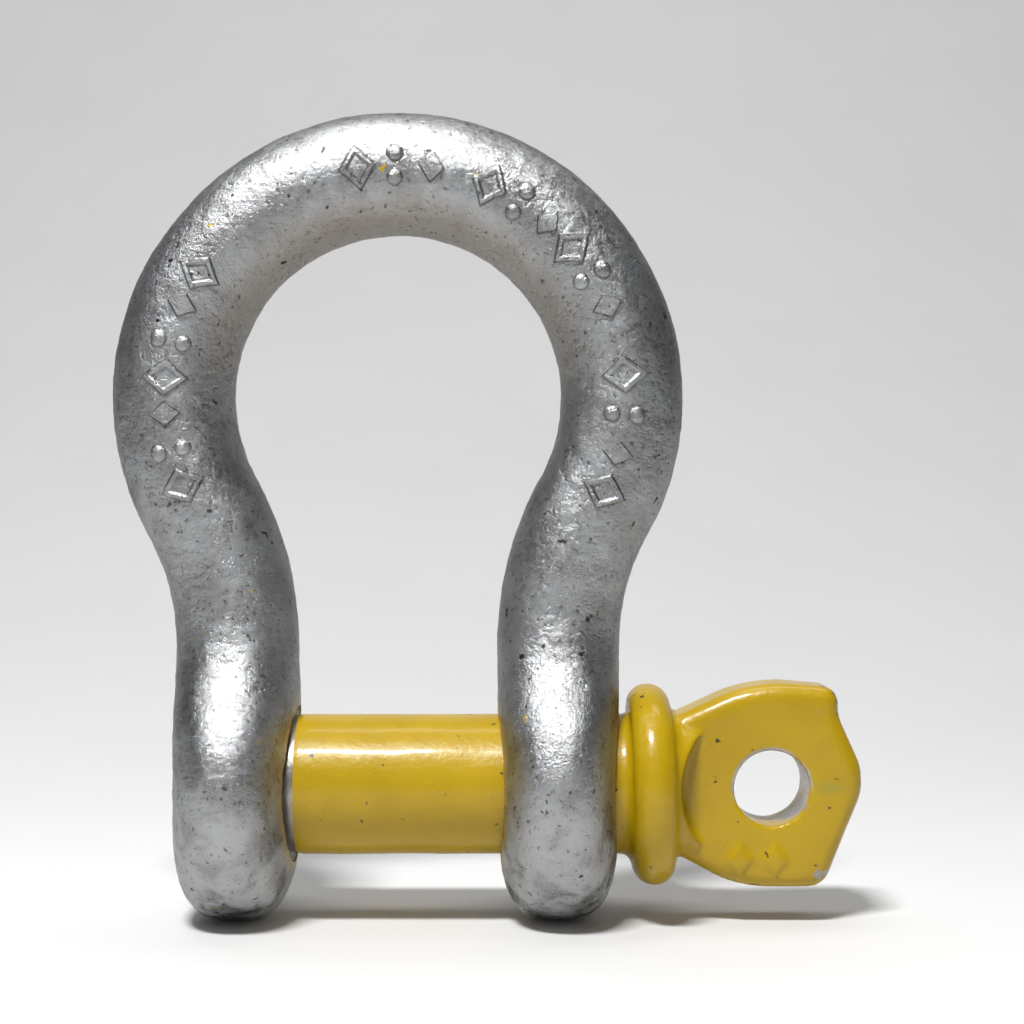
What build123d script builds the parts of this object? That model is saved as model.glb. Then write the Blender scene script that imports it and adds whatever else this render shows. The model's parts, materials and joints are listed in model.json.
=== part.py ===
from build123d import *
import math
import os

# Bow shackle with a screw pin, in millimetres: a forged bow with two ears, and the pin that closes them.
# The origin is on the pin's axis, in the middle of the jaw. +X points to the pin's eye, +Z to the
# crown of the bow, and Y runs through the shackle's thickness.

# bow
bar_d = 16.7
jaw = 28.0
bow_r = 30.65
waist_r = 38.8
waist_z = 19.0
leg_taper = 0.7

# ears
ear_thick = 15.8
ear_r = 18.35
ear_round = 7.4
ear_blend_r = 20.0
plain_bore_r = 10.35
tapped_bore_r = 9.42
countersink_r = 10.7
countersink_depth = 1.2

# thread: the ear's groove is cut outwards from its bore, so that the pin draws out straight
thread_pitch = 2.5
thread_crest_r = 9.3
thread_depth = 1.2
thread_mouth = 2.0
thread_root = 0.5

# pin
shank_r = 9.5
tip_x = -29.6
tip_chamfer = 1.4
shank_start_x = -13.6
collar_x = 31.6
collar_width = 5.9
collar_r = 13.75
collar_round = 2.6
neck_r = 10.2

# eye
eye_x = 50.6
eye_hole_r = 5.1
eye_hole_round = 0.9
eye_thick = 10.2
eye_round = 2.0
eye_top = 14.1
eye_bottom = -13.5
eye_end_x = 63.6
horn_x = 59.9
ramp_end_x = 42.2

leg_x = jaw / 2 + ear_thick / 2
ear_outer_x = jaw / 2 + ear_thick


def bow_centreline():
    """Half turn of the crown, run into the straight legs by a reverse arc at each waist."""
    waist_x = leg_x + waist_r
    bow_z = waist_z + math.sqrt((bow_r + waist_r) ** 2 - waist_x**2)
    share = bow_r / (bow_r + waist_r)
    side_x = waist_x * share
    side_z = bow_z - (bow_z - waist_z) * share
    half_turn = math.atan2(bow_z - waist_z, waist_x) / 2
    mid_x = waist_x - waist_r * math.cos(half_turn)
    mid_z = waist_z + waist_r * math.sin(half_turn)
    left_waist = ThreePointArc((-leg_x, 0, waist_z), (-mid_x, 0, mid_z), (-side_x, 0, side_z))
    crown = ThreePointArc((-side_x, 0, side_z), (0, 0, bow_z + bow_r), (side_x, 0, side_z))
    right_waist = ThreePointArc((side_x, 0, side_z), (mid_x, 0, mid_z), (leg_x, 0, waist_z))
    return Wire([left_waist, crown, right_waist])


def leg(x):
    """The straight stretch from the waist into the ear, a little thinner towards its end."""
    top = Plane((x, 0, waist_z)) * Circle(bar_d / 2)
    foot = Plane((x, 0, 0)) * Circle(bar_d / 2 - leg_taper)
    return loft([foot, top])


def ear(x):
    """A round ear that narrows to the bar's width by two hollow arcs, with a nearly full-round rim."""
    bar_r = bar_d / 2
    blend_y = bar_r + ear_blend_r
    blend_z = math.sqrt((ear_r + ear_blend_r) ** 2 - blend_y**2)
    share = ear_r / (ear_r + ear_blend_r)
    shoulder_y = blend_y * share
    shoulder_z = blend_z * share
    neck = Polygon(
        (0, 0), (shoulder_y, shoulder_z), (bar_r, blend_z), (-bar_r, blend_z), (-shoulder_y, shoulder_z),
        align=None,
    )
    outline = Circle(ear_r) + neck
    outline -= Pos(blend_y, blend_z) * Circle(ear_blend_r)
    outline -= Pos(-blend_y, blend_z) * Circle(ear_blend_r)
    plate = extrude(Plane.YZ.offset(x) * outline, ear_thick / 2, both=True)
    rims = [e for e in plate.edges() if abs(abs(e.center().X - x) - ear_thick / 2) < 0.01]
    rims = [e for e in rims if e.center().Z < blend_z - 0.1]
    return fillet(rims, ear_round)


def x_cylinder(radius, start, end):
    return extrude(Plane.YZ.offset(start) * Circle(radius), end - start)


def x_cone(start_r, end_r, start, end):
    outline = Polyline((start, 0), (start, start_r), (end, end_r), (end, 0), close=True)
    return revolve(Plane.XY * make_face(outline), Axis.X)


def thread_groove(radius, start, end, outwards):
    """A right-hand groove wound along X, with its mouth at the radius and its root on the given side."""
    path = Helix(thread_pitch, end - start, radius, center=(start, 0, 0), direction=(1, 0, 0))
    first = path @ 0
    radial = Vector(0, first.Y, first.Z).normalized()
    section = Plane(origin=first, x_dir=radial, z_dir=path % 0)
    side = 1 if outwards else -1
    mouth = -0.25 * side
    root = thread_depth * side
    mouth_corners = [(mouth, -thread_mouth / 2), (mouth, thread_mouth / 2)]
    root_corners = [(root, thread_root / 2), (root, -thread_root / 2)]
    groove = Polygon(*mouth_corners, *root_corners, align=None)
    return sweep(section * groove, path=path, is_frenet=True)


def bow_body():
    body = sweep(Plane((-leg_x, 0, waist_z)) * Circle(bar_d / 2), path=bow_centreline())
    for x in (-leg_x, leg_x):
        body += leg(x)
        body += ear(x)
    body -= x_cylinder(plain_bore_r, 0, ear_outer_x + 1)
    body -= x_cylinder(tapped_bore_r, -ear_outer_x - 1, 0)
    body -= x_cone(tapped_bore_r, countersink_r, -jaw / 2 - countersink_depth, -jaw / 2)
    body -= thread_groove(tapped_bore_r, -ear_outer_x - thread_pitch, -jaw / 2 + thread_pitch, True)
    return body


def shank():
    """Thread, plain shank and the neck that carries on under the collar."""
    threaded = x_cylinder(thread_crest_r, tip_x, shank_start_x)
    threaded = chamfer(threaded.edges().group_by(Axis.X)[0], tip_chamfer)
    threaded -= thread_groove(thread_crest_r, tip_x - thread_pitch, shank_start_x - 1, False)
    plain = x_cylinder(shank_r, shank_start_x, collar_x)
    return threaded + plain


def collar():
    ring = x_cylinder(collar_r, collar_x, collar_x + collar_width)
    return fillet(ring.edges(), collar_round)


def neck():
    """The round neck beyond the collar, scooped down on both faces into the flat eye."""
    start = collar_x + collar_width - collar_round
    ramp_end = (ramp_end_x, eye_thick / 2 - 0.2)
    scoop = ThreePointArc((start, neck_r), (ramp_end_x - 2.4, neck_r - 1.9), ramp_end)
    outline = scoop + Polyline(ramp_end, (ramp_end_x, 0), (start, 0), (start, neck_r))
    return revolve(Plane.XY * make_face(outline), Axis.X)


def eye():
    """The flat eye: a horn at the top of its end, a hollow under the horn and a slope at the bottom."""
    start = collar_x + collar_width - 1
    corners = [
        (start, neck_r - 1.2),
        (eye_x - 2.6, eye_top + 0.2),
        (horn_x, eye_top - 0.6),
        (horn_x - 0.2, eye_top - 4.3),
        (eye_end_x, 1.0),
        (eye_end_x - 5.9, eye_bottom),
        (eye_x - 4.4, eye_bottom),
        (start, 1.8 - neck_r),
    ]
    outline = FilletPolyline(*corners, radius=[18, 2.3, 4, 7, 3, 14])
    back = Line(corners[-1], corners[0])
    plate = extrude(Plane.XZ * make_face([outline, back]), eye_thick / 2, both=True)
    rims = [e for e in plate.edges() if abs(abs(e.center().Y) - eye_thick / 2) < 0.01]
    rims = [e for e in rims if e.center().X > start + 0.1]
    plate = fillet(rims, eye_round)
    hole = Plane.XZ * Pos(eye_x, 0) * Circle(eye_hole_r)
    plate -= extrude(hole, eye_thick, both=True)
    mouths = [e for e in plate.edges().filter_by(GeomType.CIRCLE) if abs(e.radius - eye_hole_r) < 0.01]
    return fillet(mouths, eye_hole_round)


def screw_pin():
    return shank() + collar() + neck() + eye()


os.makedirs("parts", exist_ok=True)
export_step(bow_body(), "parts/bow_body.step")
export_step(screw_pin(), "parts/screw_pin.step")
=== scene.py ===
import json
import math

import bmesh
import bpy
from mathutils import Matrix, Vector


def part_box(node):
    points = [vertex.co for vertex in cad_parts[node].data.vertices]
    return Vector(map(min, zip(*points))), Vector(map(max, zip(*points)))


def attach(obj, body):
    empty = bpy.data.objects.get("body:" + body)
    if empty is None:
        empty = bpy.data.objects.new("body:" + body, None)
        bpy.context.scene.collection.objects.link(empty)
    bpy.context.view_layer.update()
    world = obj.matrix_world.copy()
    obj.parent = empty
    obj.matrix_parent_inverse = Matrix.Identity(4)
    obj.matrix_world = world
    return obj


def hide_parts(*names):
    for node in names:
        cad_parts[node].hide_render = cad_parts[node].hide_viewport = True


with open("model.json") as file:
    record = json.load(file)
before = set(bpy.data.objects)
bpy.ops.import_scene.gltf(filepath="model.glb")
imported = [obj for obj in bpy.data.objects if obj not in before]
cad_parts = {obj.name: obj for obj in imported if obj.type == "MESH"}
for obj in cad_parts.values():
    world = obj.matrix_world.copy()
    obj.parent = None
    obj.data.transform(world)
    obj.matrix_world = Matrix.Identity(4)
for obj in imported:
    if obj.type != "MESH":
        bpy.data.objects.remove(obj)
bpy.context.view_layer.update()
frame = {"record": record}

# A bow shackle in two pieces: a galvanised bow with two ears, and the yellow screw pin that closes them.
# The pin lies along X with its eye at the positive end, and the crown of the bow is up.

# ---- sizes, in metres ------------------------------------------------------------------------------
MM = 0.001
merge_gap = 1e-7
tolerance = 1e-6

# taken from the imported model
bow_low, bow_high = (Vector(c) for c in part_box("bow_body"))
pin_low, pin_high = (Vector(c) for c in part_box("screw_pin"))
mounts = {m["name"]: m for m in frame["record"]["mounts"]}
bar_r = mounts["bow_saddle"]["dims"]["r_mm"] * MM
shank_r = mounts["pin_shank"]["dims"]["r_mm"] * MM
eye_hole_r = mounts["lashing_eye"]["dims"]["r_mm"] * MM
eye_x = mounts["lashing_eye"]["pos_m"][0]
crown_inside_z = mounts["bow_saddle"]["pos_m"][2]

# the bow's centre line: straight legs, a reverse arc at each waist, and the crown
jaw = 28 * MM
leg_x = 21.9 * MM
bow_r = 30.65 * MM
waist_r = 38.8 * MM
waist_x = leg_x + waist_r
bow_z = crown_inside_z + bar_r - bow_r
waist_z = bow_z - math.sqrt((bow_r + waist_r) ** 2 - waist_x**2)
waist_turn = math.asin((bow_z - waist_z) / (bow_r + waist_r))

# the ears: they start a little under size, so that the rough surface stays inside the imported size
rough_allowance = 0.12 * MM
ear_r = bow_high.y - rough_allowance
ear_thick = 16.5 * MM
ear_blend_r = 20 * MM
ear_outer_x = leg_x + ear_thick / 2
ear_rim_power = 3.4
ear_squareness = 0.4
ear_squaring_drop = 8 * MM
plain_bore_r = 10.35 * MM
tapped_bore_r = 9.42 * MM
countersink_r = 10.7 * MM
countersink_depth = 1.2 * MM

# the pin
thread_pitch = 2.5 * MM
thread_crest_r = 9.3 * MM
thread_depth = 1.2 * MM
tip_chamfer = 1.4 * MM
shank_start_x = -14.9 * MM
bare_end_x = -13.5 * MM
collar_x = 31.6 * MM
collar_width = 5.9 * MM
collar_r = pin_high.y - 0.05 * MM
collar_lean = 0.032
neck_r = 10.2 * MM
eye_thick = 10.2 * MM
eye_round = 2.0 * MM
eye_top = 14.1 * MM
eye_bottom = -13.5 * MM
eye_end_x = 63.6 * MM
horn_x = 59.9 * MM
scoop_r = 12 * MM

# the raised marks
mark_height = 0.42 * MM
mark_root = 0.7 * MM
mark_slope = 0.3 * MM
mark_stroke = 0.75 * MM
mark_stretch = 1.25
mark_soft_edge = 0.1 * MM
open_lozenge = 3.7 * MM
solid_lozenge = 2.5 * MM
eye_lozenge = 2.6 * MM
stud_width = 2.3 * MM
stud_height = mark_height * 1.2
stud_offset = 1.7 * MM

# how fine the metal's surface is modelled
bow_grid = 0.53 * MM
pin_grid = 0.33 * MM


# ---- modelling helpers -----------------------------------------------------------------------------
def deselect():
    if bpy.context.mode != "OBJECT":
        bpy.ops.object.mode_set(mode="OBJECT")
    bpy.ops.object.select_all(action="DESELECT")


def only(piece):
    """Selects one piece alone and makes it the active one."""
    deselect()
    piece.select_set(True)
    bpy.context.view_layer.objects.active = piece


def settle(piece, name):
    """Puts the piece's place into its mesh, so that its object sits at the origin, and names it."""
    only(piece)
    bpy.ops.object.transform_apply(location=True, rotation=True, scale=True)
    piece.name = name
    piece.data.name = name
    return piece


def edit(piece):
    only(piece)
    bpy.ops.object.mode_set(mode="EDIT")


def finish_edit():
    """Merges what meets, turns the faces outwards and leaves edit mode."""
    bpy.ops.mesh.select_all(action="SELECT")
    bpy.ops.mesh.remove_doubles(threshold=merge_gap)
    bpy.ops.mesh.normals_make_consistent(inside=False)
    bpy.ops.object.mode_set(mode="OBJECT")


def pick(piece, kind, wanted):
    """In edit mode, selects only the verts or edges that pass the test."""
    bpy.ops.mesh.select_mode(type=kind)
    bpy.ops.mesh.select_all(action="DESELECT")
    mesh = bmesh.from_edit_mesh(piece.data)
    for element in mesh.verts if kind == "VERT" else mesh.edges:
        element.select = wanted(element)
    mesh.select_flush_mode()
    bmesh.update_edit_mesh(piece.data)


def draw_out(move):
    """In edit mode, extrudes what is selected by a move."""
    bpy.ops.mesh.extrude_region_move(TRANSFORM_OT_translate={"value": move})


def modify(piece, kind, **settings):
    """Adds one modifier and applies it."""
    only(piece)
    modifier = piece.modifiers.new(kind.title(), kind)
    for name, value in settings.items():
        setattr(modifier, name, value)
    bpy.ops.object.modifier_apply(modifier=modifier.name)


def join(pieces, name):
    """Joins the pieces into the first of them."""
    deselect()
    for piece in pieces:
        piece.select_set(True)
    bpy.context.view_layer.objects.active = pieces[0]
    bpy.ops.object.join()
    pieces[0].name = name
    pieces[0].data.name = name
    return pieces[0]


def cut(piece, cutter, operation="DIFFERENCE"):
    """Cuts a piece with another, which is used up."""
    modify(piece, "BOOLEAN", object=cutter, operation=operation, solver="EXACT")
    bpy.data.objects.remove(cutter)


def turned(name, stations, sides=96, axis="X"):
    """A turned solid: a disc drawn out along its axis through (place, radius) stations."""
    place, radius = stations[0]
    deselect()
    bpy.ops.mesh.primitive_circle_add(vertices=sides, radius=radius, fill_type="NGON", location=(0, 0, place))
    piece = settle(bpy.context.active_object, name)
    edit(piece)
    bpy.ops.mesh.select_all(action="SELECT")
    for next_place, next_radius in stations[1:]:
        draw_out((0, 0, next_place - place))
        ratio = next_radius / radius
        bpy.ops.transform.resize(value=(ratio, ratio, 1), center_override=(0, 0, next_place))
        place, radius = next_place, next_radius
    finish_edit()
    turn = Matrix.Rotation(math.pi / 2, 4, "Y") if axis == "X" else Matrix.Rotation(-math.pi / 2, 4, "X")
    piece.data.transform(turn)
    return piece


def threaded_rod(name, crest_r, depth, start, end):
    """A right-hand threaded rod along X: one tooth wound up by the screw tool, then cut square."""
    # each corner of the tooth: a share of the pitch along the rod, and a height above the crest
    tooth = [(0.0, -depth), (0.14, -depth), (0.46, 0.0), (0.68, 0.0), (1.0, -depth)]
    spare_turns = 2
    deselect()
    bpy.ops.mesh.primitive_circle_add(vertices=len(tooth), radius=crest_r, fill_type="NOTHING")
    rod = settle(bpy.context.active_object, name)
    edit(rod)
    mesh = bmesh.from_edit_mesh(rod.data)
    bmesh.ops.delete(mesh, geom=list(mesh.edges), context="EDGES_FACES")
    first = end + spare_turns * thread_pitch
    for v, (along, height) in zip(mesh.verts, tooth):
        v.co = (crest_r + height, 0, first + along * thread_pitch)
    mesh.verts.ensure_lookup_table()
    for a, b in zip(mesh.verts[:-1], mesh.verts[1:]):
        mesh.edges.new((a, b))
    bmesh.update_edit_mesh(rod.data)
    bpy.ops.mesh.select_all(action="SELECT")
    turns = math.ceil((end - start) / thread_pitch) + 2 * spare_turns
    bpy.ops.mesh.screw(steps=64, turns=turns, center=(0, 0, 0), axis=(0, 0, -1))
    bpy.ops.mesh.select_all(action="SELECT")
    bpy.ops.mesh.remove_doubles(threshold=merge_gap)
    for place, outwards in ((start, -1), (end, 1)):
        bpy.ops.mesh.select_all(action="SELECT")
        bpy.ops.mesh.bisect(
            plane_co=(0, 0, place), plane_no=(0, 0, outwards), use_fill=True, clear_outer=True
        )
    finish_edit()
    rod.data.transform(Matrix.Rotation(math.pi / 2, 4, "Y"))
    return rod


def hold_inside(piece, low, high):
    """Presses the last hair of the surface back inside the piece's packed size."""
    for v in piece.data.vertices:
        for axis in range(3):
            v.co[axis] = min(max(v.co[axis], low[axis]), high[axis])


def roughen(piece, name, size, height):
    """Raises and sinks the surface by up to half the height, in soft lumps of the given size."""
    lumps = bpy.data.textures.new(name, "CLOUDS")
    lumps.noise_scale = size
    lumps.noise_depth = 2
    modify(piece, "DISPLACE", texture=lumps, texture_coords="LOCAL", strength=height, mid_level=0.5)


# ---- the bow ---------------------------------------------------------------------------------------
def ear_half_width(z):
    """Half the width of the leg at a height: the bar, spreading by a hollow arc into the round ear."""
    blend_y = bar_r + ear_blend_r
    blend_z = math.sqrt((ear_r + ear_blend_r) ** 2 - blend_y**2)
    if z >= blend_z:
        return bar_r
    shoulder_z = blend_z * ear_r / (ear_r + ear_blend_r)
    if z > shoulder_z:
        return blend_y - math.sqrt(ear_blend_r**2 - (blend_z - z) ** 2)
    return math.sqrt(max(ear_r**2 - z**2, 0))


def ear_half_depth(z):
    """Half the thickness of the leg at a height, closing in a full round below the pin."""
    if z >= 0:
        return ear_thick / 2 + (bar_r - ear_thick / 2) * min(z / waist_z, 1)
    return ear_thick / 2 * (1 - min(-z / ear_r, 1) ** ear_rim_power) ** (1 / ear_rim_power)


def squared(share, power):
    """Moves a place on a round section out towards a squarer one."""
    return math.copysign(abs(share) ** (2 / power), share)


def forged_bar():
    """One bar from ear to ear: up the left leg, round the waists and the crown, and down the right leg."""
    leg_steps = 12
    waist_steps = 20
    crown_steps = 110
    lowest = [-ear_r * math.cos(math.radians(turn)) for turn in range(2, 90, 4)]
    heights = lowest + [waist_z * place / leg_steps for place in range(leg_steps + 1)]
    deselect()
    bpy.ops.mesh.primitive_circle_add(
        vertices=96, radius=bar_r, fill_type="NGON", location=(-leg_x, 0, heights[0])
    )
    bar = settle(bpy.context.active_object, "bar")
    edit(bar)
    bpy.ops.mesh.select_all(action="SELECT")
    rises = [high - low for low, high in zip(heights[:-1], heights[1:])]
    for rise in rises:
        draw_out((0, 0, rise))
    bends = [
        (waist_steps, waist_turn, (-waist_x, 0, waist_z)),
        (crown_steps, -math.pi - 2 * waist_turn, (0, 0, bow_z)),
        (waist_steps, waist_turn, (waist_x, 0, waist_z)),
    ]
    for steps, angle, centre in bends:
        bpy.ops.mesh.spin(steps=steps, angle=angle, center=centre, axis=(0, 1, 0))
    for rise in reversed(rises):
        draw_out((0, 0, -rise))
    finish_edit()
    for v in bar.data.vertices:
        wide = ear_half_width(v.co.z)
        if v.co.z > waist_z + tolerance:
            v.co.y *= wide / bar_r
            continue
        power = 2 + ear_squareness * min((waist_z - v.co.z) / ear_squaring_drop, 1)
        middle = math.copysign(leg_x, v.co.x)
        v.co.x = middle + ear_half_depth(v.co.z) * squared((v.co.x - middle) / bar_r, power)
        v.co.y = wide * squared(v.co.y / bar_r, power)
    return bar


def forged_bow():
    """The forging, smoothed and wrinkled, then bored, tapped and countersunk."""
    bow = forged_bar()
    modify(bow, "REMESH", mode="VOXEL", voxel_size=bow_grid)
    modify(bow, "SMOOTH", factor=0.6, iterations=4)
    roughen(bow, "forged_lumps", size=14 * MM, height=0.3 * MM)
    roughen(bow, "zinc_wrinkle", size=2.2 * MM, height=0.17 * MM)
    roughen(bow, "zinc_grain", size=1.2 * MM, height=0.13 * MM)
    hold_inside(bow, bow_low, bow_high)
    past = 1 * MM
    bore = [(jaw / 2 - 2 * past, plain_bore_r), (ear_outer_x + past, plain_bore_r)]
    cut(bow, turned("plain_bore", bore))
    tap_crest_r = tapped_bore_r + thread_depth
    cut(bow, threaded_rod("tap", tap_crest_r, thread_depth, -ear_outer_x - past, past - jaw / 2))
    countersink = [
        (-jaw / 2 - countersink_depth, tapped_bore_r),
        (-jaw / 2, countersink_r),
        (past - jaw / 2, countersink_r),
    ]
    cut(bow, turned("countersink", countersink))
    return bow


# ---- raised forge marks ----------------------------------------------------------------------------
def bow_line(run):
    """The bar's centre line: (point, direction) at a run along it from the crown, positive to the right."""
    crown_run = bow_r * (math.pi / 2 + waist_turn)
    side = math.copysign(1, run)
    run = abs(run)
    if run <= crown_run:
        turn = math.pi / 2 - run / bow_r
        point = Vector((bow_r * math.cos(turn), 0, bow_z + bow_r * math.sin(turn)))
        along = Vector((math.sin(turn), 0, -math.cos(turn)))
    else:
        turn = waist_turn - (run - crown_run) / waist_r
        if turn >= 0:
            point = Vector((waist_x - waist_r * math.cos(turn), 0, waist_z + waist_r * math.sin(turn)))
            along = Vector((-math.sin(turn), 0, -math.cos(turn)))
        else:
            point = Vector((leg_x, 0, waist_z + turn * waist_r))
            along = Vector((0, 0, -1))
    if side < 0:
        point.x = -point.x
        along.z = -along.z
    return point, along


def raised_lozenge(name, wide, hollow):
    """A flat-topped lozenge with sloping sides, drawn flat on its back: a frame of metal if hollow."""
    deselect()
    quarter = math.pi / 4
    bpy.ops.mesh.primitive_cube_add(size=1, location=(0, 0, -mark_root / 2), rotation=(0, 0, quarter))
    mark = bpy.context.active_object
    mark.scale = (wide, wide, mark_root)
    settle(mark, name)
    edit(mark)
    bpy.ops.mesh.select_all(action="SELECT")
    bpy.ops.mesh.subdivide(number_cuts=11)
    inner = (wide / 2 - mark_stroke - mark_slope) * math.sqrt(2)
    mesh = bmesh.from_edit_mesh(mark.data)
    bpy.ops.mesh.select_mode(type="FACE")
    for f in mesh.faces:
        middle = f.calc_center_median()
        in_hole = abs(middle.x) + abs(middle.y) < inner
        f.select = f.normal.z > 0.9 and not (hollow and in_hole)
    bmesh.update_edit_mesh(mark.data)
    bpy.ops.mesh.inset(thickness=mark_slope, depth=mark_height)
    bpy.ops.mesh.region_to_loop()
    bpy.ops.mesh.bevel(offset=mark_soft_edge, segments=2)
    bpy.ops.object.mode_set(mode="OBJECT")
    mark.data.transform(Matrix.Diagonal((1, mark_stretch, 1, 1)))
    return mark


def raised_stud(name):
    """A low dome, sunk to its widest line."""
    deselect()
    bpy.ops.mesh.primitive_uv_sphere_add(segments=24, ring_count=12, radius=1)
    mark = bpy.context.active_object
    mark.scale = (stud_width / 2, stud_width / 2, stud_height)
    return settle(mark, name)


def lay_on_bow(mark, run):
    """Bends a flat mark round the front of the bar, at a run along the bow."""
    for v in mark.data.vertices:
        centre, along = bow_line(run + v.co.x)
        outwards = Vector((-along.z, 0, along.x))
        lean = v.co.y / bar_r
        radius = bar_r + v.co.z
        v.co = centre + outwards * radius * math.sin(lean) - Vector((0, radius * math.cos(lean), 0))
    edit(mark)
    finish_edit()
    return mark


def forge_marks():
    """Rows of plain marks on the front of the bow: open lozenge, pair of studs, solid lozenge, and again."""
    # each row's first and last run along the bow, and the room for one mark, in millimetres
    rows = {"left": (-63, -28.5), "top": (-7.5, 7.5), "shoulder": (10.7, 38.3), "right": (42.7, 64)}
    room = 4.95
    marks = []
    for row, (first, last) in rows.items():
        count = round((last - first) / room)
        for place in range(count):
            run = (first + (place + 0.5) * (last - first) / count) * MM
            name = f"{row}_{place}"
            if place % 3 == 0:
                marks.append(lay_on_bow(raised_lozenge(name, open_lozenge, hollow=True), run))
            elif place % 3 == 2:
                marks.append(lay_on_bow(raised_lozenge(name, solid_lozenge, hollow=False), run))
            else:
                for side in (-1, 1):
                    stud = raised_stud(name)
                    stud.data.transform(Matrix.Translation((0, side * stud_offset, 0)))
                    marks.append(lay_on_bow(stud, run))
    return marks


# ---- the pin ---------------------------------------------------------------------------------------
def pin_forging():
    """Bare ring, shank, collar and neck, drawn out as one turned solid along X, with the collar leaning."""
    ring_r = thread_crest_r + 0.03 * MM
    ring_edge_r = ring_r - 0.3 * MM
    stations = [
        (shank_start_x, ring_edge_r), (shank_start_x + 0.25 * MM, ring_r),
        (bare_end_x - 0.15 * MM, ring_r), (bare_end_x - 0.1 * MM, ring_edge_r),
        (bare_end_x + 0.05 * MM, ring_edge_r), (bare_end_x + 0.15 * MM, shank_r - 0.05 * MM),
        (bare_end_x + 0.5 * MM, shank_r),
        (collar_x - 0.6 * MM, shank_r), (collar_x + 0.1 * MM, shank_r + 0.7 * MM),
    ]
    rim = collar_width / 2
    rim_steps = 12
    for place in range(1, rim_steps):
        turn = math.pi * place / rim_steps
        stations.append((collar_x + rim - rim * math.cos(turn), collar_r - rim + rim * math.sin(turn)))
    neck_x = collar_x + collar_width
    stations += [
        (neck_x - 0.1 * MM, neck_r + 0.3 * MM), (neck_x + 0.8 * MM, neck_r - 0.5 * MM),
        (neck_x + 3 * MM, neck_r - 0.8 * MM), (neck_x + 6 * MM, neck_r - 1.6 * MM),
        (neck_x + 8.5 * MM, neck_r - 3.4 * MM), (neck_x + 9.5 * MM, eye_thick / 2 - 0.2 * MM),
    ]
    forging = turned("forging", stations, sides=128)
    for v in forging.data.vertices:
        if math.hypot(v.co.y, v.co.z) > shank_r + 1 * MM and v.co.x < neck_x:
            v.co.x -= collar_lean * v.co.z
    return forging


def fillet_reach(before, corner, after, radius):
    """How far from a corner a fillet of the given radius starts."""
    towards = [Vector(end) - Vector(corner) for end in (before, after)]
    return radius / math.tan(towards[0].angle(towards[1]) / 2)


def flat_eye():
    """The flat eye: a plate with rounded corners, drawn through its thickness, then rounded at its rims."""
    start = collar_x + collar_width - 1 * MM
    corners = [
        (start, neck_r - 1.2 * MM),
        (eye_x - 2.6 * MM, eye_top + 0.2 * MM),
        (horn_x, eye_top - 0.6 * MM),
        (horn_x - 0.2 * MM, eye_top - 4.3 * MM),
        (eye_end_x, 1 * MM),
        (eye_end_x - 5.9 * MM, eye_bottom),
        (eye_x - 4.4 * MM, eye_bottom),
        (start, 1.8 * MM - neck_r),
    ]
    rounding_mm = [0, 18, 2.3, 4, 7, 3, 14, 0]
    deselect()
    bpy.ops.mesh.primitive_circle_add(vertices=len(corners), radius=1 * MM, fill_type="NGON")
    plate = settle(bpy.context.active_object, "eye")
    for v, (x, z) in zip(plate.data.vertices, corners):
        v.co = (x, -eye_thick / 2, z)
    edit(plate)
    for place in range(1, len(corners) - 1):
        x, z = corners[place]
        radius = rounding_mm[place] * MM
        reach = fillet_reach(corners[place - 1], corners[place], corners[place + 1], radius)
        pick(plate, "VERT", lambda v: abs(v.co.x - x) < tolerance and abs(v.co.z - z) < tolerance)
        bpy.ops.mesh.bevel(offset=reach, segments=10, affect="VERTICES")
    bpy.ops.mesh.select_mode(type="FACE")
    bpy.ops.mesh.select_all(action="SELECT")
    draw_out((0, eye_thick, 0))
    pick(plate, "EDGE", lambda e: abs(e.verts[0].co.y - e.verts[1].co.y) < tolerance)
    bpy.ops.mesh.bevel(offset=eye_round, segments=6)
    finish_edit()
    return plate


def cutter_at_eye(name, stations):
    """A turned cutter that goes through the plate in line with the eye's hole."""
    cutter = turned(name, stations, axis="Y")
    cutter.data.transform(Matrix.Translation((eye_x, 0, 0)))
    return cutter


def eye_marks():
    """Two soft lozenges low on the front of the eye."""
    middle_x = eye_x - 2 * MM
    apart = 2.4 * MM
    low_z = -9.7 * MM
    marks = []
    for side in (-1, 1):
        mark = raised_lozenge("eye_mark", eye_lozenge, hollow=False)
        mark.data.transform(Matrix.Rotation(math.pi / 2, 4, "X"))
        mark.data.transform(Matrix.Translation((middle_x + side * apart, -eye_thick / 2, low_z)))
        marks.append(mark)
    return marks


def threaded_end():
    """The pin's thread, chamfered at its tip and run a little way into the shank."""
    tip_x = pin_low.x
    clear_r = thread_crest_r + 0.01 * MM
    thread = threaded_rod("thread", thread_crest_r, thread_depth, tip_x - 1 * MM, shank_start_x + 1 * MM)
    blank = [
        (tip_x, thread_crest_r - tip_chamfer),
        (tip_x + tip_chamfer, clear_r),
        (shank_start_x + 0.6 * MM, clear_r),
    ]
    cut(thread, turned("blank", blank), "INTERSECT")
    return thread


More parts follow.
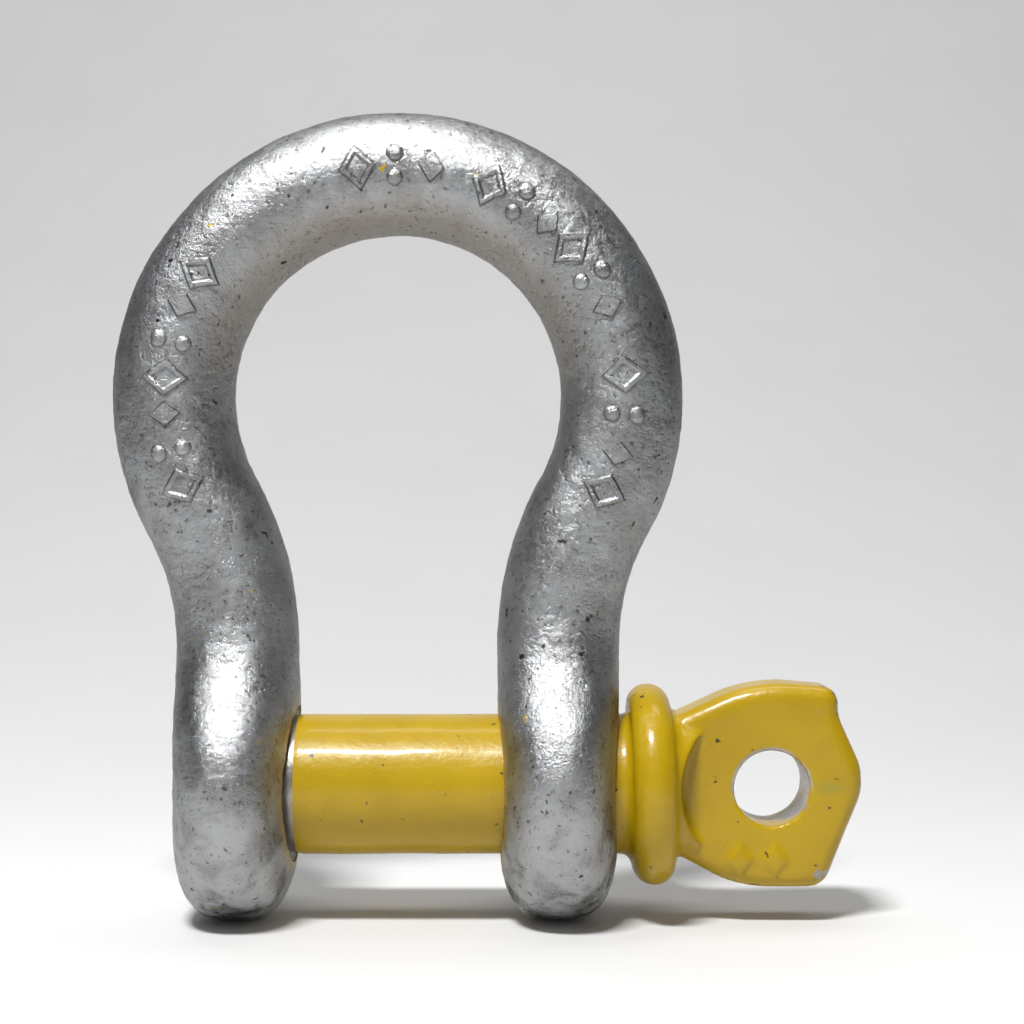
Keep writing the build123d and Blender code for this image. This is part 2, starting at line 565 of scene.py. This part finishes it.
def screw_pin():
    """The forging with its scooped, holed and marked eye, then the thread on its end."""
    head = join([pin_forging(), flat_eye()], "pin")
    modify(head, "REMESH", mode="VOXEL", voxel_size=pin_grid)
    half = eye_thick / 2
    for side in (-1, 1):
        scoop = [
            (side * half, scoop_r),
            (side * (half + 1.6 * MM), scoop_r + 0.3 * MM),
            (side * (half + 8 * MM), scoop_r + 0.8 * MM),
        ]
        cut(head, cutter_at_eye("scoop", scoop))
    cut(head, cutter_at_eye("hole", [(-half - 1 * MM, eye_hole_r), (half + 1 * MM, eye_hole_r)]))
    head = join([head] + eye_marks(), "pin")
    modify(head, "REMESH", mode="VOXEL", voxel_size=pin_grid)
    modify(head, "SMOOTH", factor=0.5, iterations=5)
    roughen(head, "paint_sag", size=7 * MM, height=0.14 * MM)
    hold_inside(head, pin_low, pin_high)
    return join([head, threaded_end()], "pin")


# ---- shader helpers --------------------------------------------------------------------------------
def node(tree, kind, **values):
    """One shader node: its settings by attribute name, its sockets by input name or number."""
    made = tree.nodes.new(kind)
    for name, value in values.items():
        if name == "inputs":
            for socket, given in value.items():
                if isinstance(given, bpy.types.NodeSocket):
                    tree.links.new(given, made.inputs[socket])
                else:
                    made.inputs[socket].default_value = given
        else:
            setattr(made, name, value)
    return made


def blank_material(name):
    """A new material: (material, its node tree, its shader, the Object coordinates)."""
    material = bpy.data.materials.new(name)
    material.use_nodes = True
    tree = material.node_tree
    tree.nodes.clear()
    output = node(tree, "ShaderNodeOutputMaterial")
    shader = node(tree, "ShaderNodeBsdfPrincipled")
    tree.links.new(shader.outputs[0], output.inputs[0])
    place = node(tree, "ShaderNodeTexCoord").outputs["Object"]
    return material, tree, shader, place


def noise(tree, place, size, detail=4.0, rough=0.55, stretch=None):
    """Soft noise whose lumps are about the given size in metres."""
    if stretch:
        place = node(tree, "ShaderNodeMapping", inputs={"Vector": place, "Scale": stretch}).outputs[0]
    facts = {"Vector": place, "Scale": 1 / size, "Detail": detail, "Roughness": rough}
    return node(tree, "ShaderNodeTexNoise", inputs=facts).outputs["Fac"]


def ease(tree, value, low, high, to_low=0.0, to_high=1.0):
    """Runs a value from one range to another, held at the ends, with a soft start and stop."""
    facts = {"Value": value, "From Min": low, "From Max": high, "To Min": to_low, "To Max": to_high}
    return node(tree, "ShaderNodeMapRange", interpolation_type="SMOOTHSTEP", inputs=facts).outputs[0]


def maths(tree, operation, a, b=0.0):
    return node(tree, "ShaderNodeMath", operation=operation, inputs={0: a, 1: b}).outputs[0]


def product(tree, *shares):
    total = shares[0]
    for share in shares[1:]:
        total = maths(tree, "MULTIPLY", total, share)
    return total


def distance(tree, a, b):
    """How far off a point is, from its two offsets a and b."""
    square = maths(tree, "ADD", maths(tree, "MULTIPLY", a, a), maths(tree, "MULTIPLY", b, b))
    return maths(tree, "SQRT", square)


def coordinates(tree, place):
    parts = node(tree, "ShaderNodeSeparateXYZ", inputs={0: place}).outputs
    return parts["X"], parts["Y"], parts["Z"]


def blend(tree, share, a, b):
    """Colour a where the share is 0, and colour b where it is 1."""
    facts = {"Factor": share, "A": a, "B": b}
    mix = node(tree, "ShaderNodeMix", data_type="RGBA")
    for name, given in facts.items():
        socket = next(s for s in mix.inputs if s.name == name and s.enabled)
        if isinstance(given, bpy.types.NodeSocket):
            tree.links.new(given, socket)
        else:
            socket.default_value = given
    return next(s for s in mix.outputs if s.enabled)


def grey(level, warmth=0.0):
    return (level * (1 + warmth), level, level * (1 - warmth), 1)


# ---- materials -------------------------------------------------------------------------------------
def painted_shade_under_crown(tree, x, z):
    """A share that is 1 on the hollow underside of the crown and falls to 0 at its front and at the legs: it
    marks where shade is painted under the crown.
    """
    crown_far = distance(tree, x, maths(tree, "SUBTRACT", z, bow_z))
    hollow_side = ease(tree, crown_far, bow_r - 2 * MM, bow_r - 7 * MM)
    return product(tree, hollow_side, ease(tree, z, 45 * MM, 65 * MM))


def overspray(tree, place, x, y, z, grain):
    """A share of the pin's paint: a rough ring round each bore, but not outside the left ear, and drips."""
    pin_far = distance(tree, y, z)
    outside_bore = ease(tree, pin_far, plain_bore_r + 0.05 * MM, plain_bore_r + 0.2 * MM)
    near_pin = product(tree, ease(tree, pin_far, 12.8 * MM, 10.3 * MM), outside_bore)
    past_left_ear = ease(tree, x, -19 * MM, -15.5 * MM)
    spray = product(tree, near_pin, past_left_ear, ease(tree, grain, 0.3, 0.55))
    drip = ease(tree, noise(tree, place, 2.3 * MM, detail=2), 0.745, 0.76)
    return maths(tree, "MINIMUM", maths(tree, "ADD", maths(tree, "MULTIPLY", spray, 0.9), drip), 1.0)


def galvanised():
    """Hot-dip zinc on a forging: mottled, wrinkled and pitted, matt at the foot of the ears, and darkened
    with painted shade on the underside of the crown.
    """
    dark_zinc = grey(0.31)
    light_zinc = grey(0.42, -0.02)
    matt_zinc = grey(0.50)
    # a darker, browner zinc used as painted shade under the crown
    shaded_zinc = (0.33, 0.30, 0.265, 1)
    wrinkle_shade = grey(0.11)
    pit_shade = grey(0.05)
    spray_yellow = (0.52, 0.36, 0.03, 1)
    matt_top_z = 6 * MM
    matt_foot_z = -14 * MM

    material, tree, shader, place = blank_material("galvanised_zinc")
    x, y, z = coordinates(tree, place)
    mottle = noise(tree, place, 5 * MM, detail=7, rough=0.6)
    cloud = noise(tree, place, 20 * MM, detail=3)
    grain = noise(tree, place, 0.8 * MM, detail=5, rough=0.7)
    specks = noise(tree, place, 1.7 * MM, detail=2, rough=0.4)
    scratch = noise(tree, place, 1.2 * MM, detail=3, stretch=(0.12, 1, 1.6))

    colour = blend(tree, ease(tree, mottle, 0.36, 0.62), dark_zinc, light_zinc)
    low = product(tree, ease(tree, z, matt_top_z, matt_foot_z), ease(tree, mottle, 0.4, 0.56))
    colour = blend(tree, maths(tree, "MULTIPLY", low, 0.5), colour, matt_zinc)
    # painted shade: the darker, browner zinc blended over the hollow underside of the crown
    crown_shade = painted_shade_under_crown(tree, x, z)
    colour = blend(tree, maths(tree, "MULTIPLY", crown_shade, 0.7), colour, shaded_zinc)
    colour = blend(tree, ease(tree, grain, 0.43, 0.31), colour, wrinkle_shade)
    colour = blend(tree, ease(tree, specks, 0.29, 0.235), colour, pit_shade)
    paint = overspray(tree, place, x, y, z, grain)
    colour = blend(tree, paint, colour, spray_yellow)
    tree.links.new(colour, shader.inputs["Base Color"])

    metal = maths(tree, "SUBTRACT", 0.95, maths(tree, "MULTIPLY", maths(tree, "MAXIMUM", paint, low), 0.55))
    tree.links.new(metal, shader.inputs["Metallic"])
    shader.inputs["Specular Tint"].default_value = grey(0.55)
    cloudy = ease(tree, cloud, 0.3, 0.7, to_low=0.24, to_high=0.32)
    rough = maths(tree, "ADD", cloudy, ease(tree, grain, 0.3, 0.7, to_low=-0.04, to_high=0.08))
    rough = maths(tree, "ADD", rough, maths(tree, "MULTIPLY", low, 0.14))
    tree.links.new(rough, shader.inputs["Roughness"])

    fine_grain = noise(tree, place, 0.35 * MM, detail=3)
    relief = maths(tree, "ADD", grain, maths(tree, "MULTIPLY", fine_grain, 0.3))
    relief = maths(tree, "ADD", relief, maths(tree, "MULTIPLY", scratch, 0.35))
    facts = {"Strength": 1.0, "Distance": 0.2 * MM, "Height": relief}
    tree.links.new(node(tree, "ShaderNodeBump", inputs=facts).outputs[0], shader.inputs["Normal"])
    return material


def bare_metal(tree, x, z, shade, chips):
    """A share of bare metal: the ring by the thread, worn patches in the eye's hole and chipped corners."""
    eye_far = distance(tree, maths(tree, "SUBTRACT", x, eye_x), z)
    in_hole = product(tree, ease(tree, eye_far, 5.7 * MM, 5.3 * MM), ease(tree, shade, 0.62, 0.5))
    at_end = ease(tree, x, bare_end_x + 0.05 * MM, bare_end_x - 0.02 * MM)
    along = maths(tree, "SUBTRACT", x, horn_x - 1.5 * MM)
    up_or_down = maths(tree, "SUBTRACT", maths(tree, "ABSOLUTE", z), 12.9 * MM)
    corner_far = distance(tree, along, up_or_down)
    chipped = product(tree, ease(tree, corner_far, 3.4 * MM, 2.2 * MM), ease(tree, chips, 0.56, 0.6))
    return maths(tree, "MAXIMUM", at_end, maths(tree, "MAXIMUM", in_hole, chipped))


def yellow_enamel():
    """Glossy yellow paint over a galvanised pin, pitted, stained by the eye, and bare where it has worn."""
    dark_yellow = (0.39, 0.250, 0.001, 1)
    light_yellow = (0.44, 0.286, 0.002, 1)
    pit_brown = (0.20, 0.14, 0.02, 1)
    speck_black = (0.05, 0.045, 0.02, 1)
    stain_green = (0.28, 0.27, 0.04, 1)
    dark_metal = (0.33, 0.30, 0.27, 1)
    light_metal = (0.50, 0.48, 0.45, 1)
    stain_x = 58.4 * MM
    stain_flatness = 2.6

    material, tree, shader, place = blank_material("yellow_enamel")
    x, _, z = coordinates(tree, place)
    shade = noise(tree, place, 8 * MM, detail=5)
    pits = noise(tree, place, 0.8 * MM, detail=4, rough=0.7)
    specks = noise(tree, place, 1.5 * MM, detail=2, rough=0.4)
    chips = noise(tree, place, 2.6 * MM, detail=4)

    colour = blend(tree, ease(tree, shade, 0.3, 0.7), dark_yellow, light_yellow)
    colour = blend(tree, ease(tree, pits, 0.34, 0.25), colour, pit_brown)
    colour = blend(tree, ease(tree, specks, 0.285, 0.25), colour, speck_black)
    stain_along = maths(tree, "SUBTRACT", x, stain_x)
    stain_far = distance(tree, stain_along, maths(tree, "MULTIPLY", z, stain_flatness))
    stain = product(tree, ease(tree, stain_far, 3.2 * MM, 0.4 * MM), ease(tree, pits, 0.35, 0.6), 0.75)
    colour = blend(tree, stain, colour, stain_green)
    bare = bare_metal(tree, x, z, shade, chips)
    metal = blend(tree, ease(tree, shade, 0.35, 0.65), dark_metal, light_metal)
    colour = blend(tree, bare, colour, metal)
    tree.links.new(colour, shader.inputs["Base Color"])

    tree.links.new(maths(tree, "MULTIPLY", bare, 0.9), shader.inputs["Metallic"])
    shader.inputs["Roughness"].default_value = 0.36
    shader.inputs["Specular IOR Level"].default_value = 0.3
    coat_weight = maths(tree, "SUBTRACT", 0.3, maths(tree, "MULTIPLY", bare, 0.3))
    tree.links.new(coat_weight, shader.inputs["Coat Weight"])
    shader.inputs["Coat Roughness"].default_value = 0.1

    sag = noise(tree, place, 1.6 * MM, detail=2)
    relief = maths(tree, "ADD", sag, maths(tree, "MULTIPLY", pits, 0.4))
    bump = node(tree, "ShaderNodeBump", inputs={"Strength": 0.35, "Distance": 0.2 * MM, "Height": relief})
    tree.links.new(bump.outputs[0], shader.inputs["Normal"])
    return material


def pale_floor():
    """A matt, nearly even pale grey."""
    material, tree, shader, place = blank_material("pale_floor")
    tint = noise(tree, place, 60 * MM, detail=2)
    tree.links.new(blend(tree, tint, grey(0.66), grey(0.70)), shader.inputs["Base Color"])
    shader.inputs["Roughness"].default_value = 0.7
    return material


# ---- assembly --------------------------------------------------------------------------------------
def coat(piece, material):
    """Gives a finished piece its one material, and smooths it except at its sharp edges."""
    piece.data.materials.clear()
    piece.data.materials.append(material)
    only(piece)
    bpy.ops.object.shade_smooth_by_angle(angle=math.radians(40))


def build_bow():
    bow = join([forged_bow()] + forge_marks(), "bow")
    coat(bow, galvanised())
    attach(bow, "bow")
    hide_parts("bow_body")


def build_pin():
    pin = screw_pin()
    coat(pin, yellow_enamel())
    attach(pin, "pin")
    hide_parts("screw_pin")


# ---- floor, lights and camera ----------------------------------------------------------------------
def stage():
    """A pale floor that sweeps up behind the shackle in one wide curve."""
    floor_size = 2.4
    floor_back_y = 0.12
    floor_gap = 0.02 * MM
    sweep_r = 0.8
    sweep_steps = 24
    wall_height = 0.8
    deselect()
    middle = (0, floor_back_y - floor_size / 2, bow_low.z - floor_gap)
    bpy.ops.mesh.primitive_plane_add(size=floor_size, location=middle)
    floor = settle(bpy.context.active_object, "floor")
    edit(floor)
    pick(floor, "EDGE", lambda e: all(v.co.y > 0 for v in e.verts))
    reach = 2 * sweep_r * math.sin(math.pi / 4 / sweep_steps)
    for place in range(sweep_steps):
        turn = math.pi / 2 * (place + 0.5) / sweep_steps
        draw_out((0, reach * math.cos(turn), reach * math.sin(turn)))
    draw_out((0, 0, wall_height))
    bpy.ops.object.mode_set(mode="OBJECT")
    floor.data.materials.append(pale_floor())
    only(floor)
    bpy.ops.object.shade_smooth()


def lamp(name, place, target, size, power):
    """A white rectangular area lamp, turned towards its target."""
    deselect()
    bpy.ops.object.light_add(type="AREA", location=place)
    light = bpy.context.active_object
    light.name = name
    light.data.shape = "RECTANGLE"
    light.data.size, light.data.size_y = size
    light.data.energy = power
    light.rotation_euler = (Vector(target) - Vector(place)).to_track_quat("-Z", "Y").to_euler()


def light_the_stage():
    """A small strong key from above the front, two weak fills, and a lamp over the backdrop."""
    shackle = (0.012, 0, 0.037)
    backdrop = (0, 0.75, 0.2)
    lamp("key", place=(-0.09, -0.30, 0.55), target=shackle, size=(0.15, 0.065), power=5.2)
    lamp("overhead", place=(0.012, 0.03, 0.62), target=shackle, size=(0.30, 0.10), power=0.3)
    lamp("front_fill", place=(0.1, -0.9, 0.25), target=shackle, size=(0.9, 0.6), power=0.3)
    lamp("backdrop_light", place=(0.0, 0.25, 1.0), target=backdrop, size=(1.2, 0.3), power=4.4)
    world = bpy.data.worlds.new("studio")
    bpy.context.scene.world = world
    world.use_nodes = True
    background = world.node_tree.nodes["Background"]
    background.inputs["Color"].default_value = (0.95, 0.97, 1, 1)
    background.inputs["Strength"].default_value = 0.1


def place_camera():
    """Level with the middle of the bow, in front of it and a little towards the pin's eye."""
    camera_data = bpy.data.cameras.new("camera")
    camera = bpy.data.objects.new("camera", camera_data)
    bpy.context.scene.collection.objects.link(camera)
    camera_data.lens = 69.67
    camera_data.clip_start = 0.01
    camera.location = (15.6 * MM, -271.6 * MM, 37.2 * MM)
    camera.rotation_euler = (math.pi / 2, 0, 0)
    bpy.context.scene.camera = camera


bpy.context.scene.view_settings.view_transform = "Standard"
place_camera()
stage()
light_the_stage()
build_bow()
build_pin()
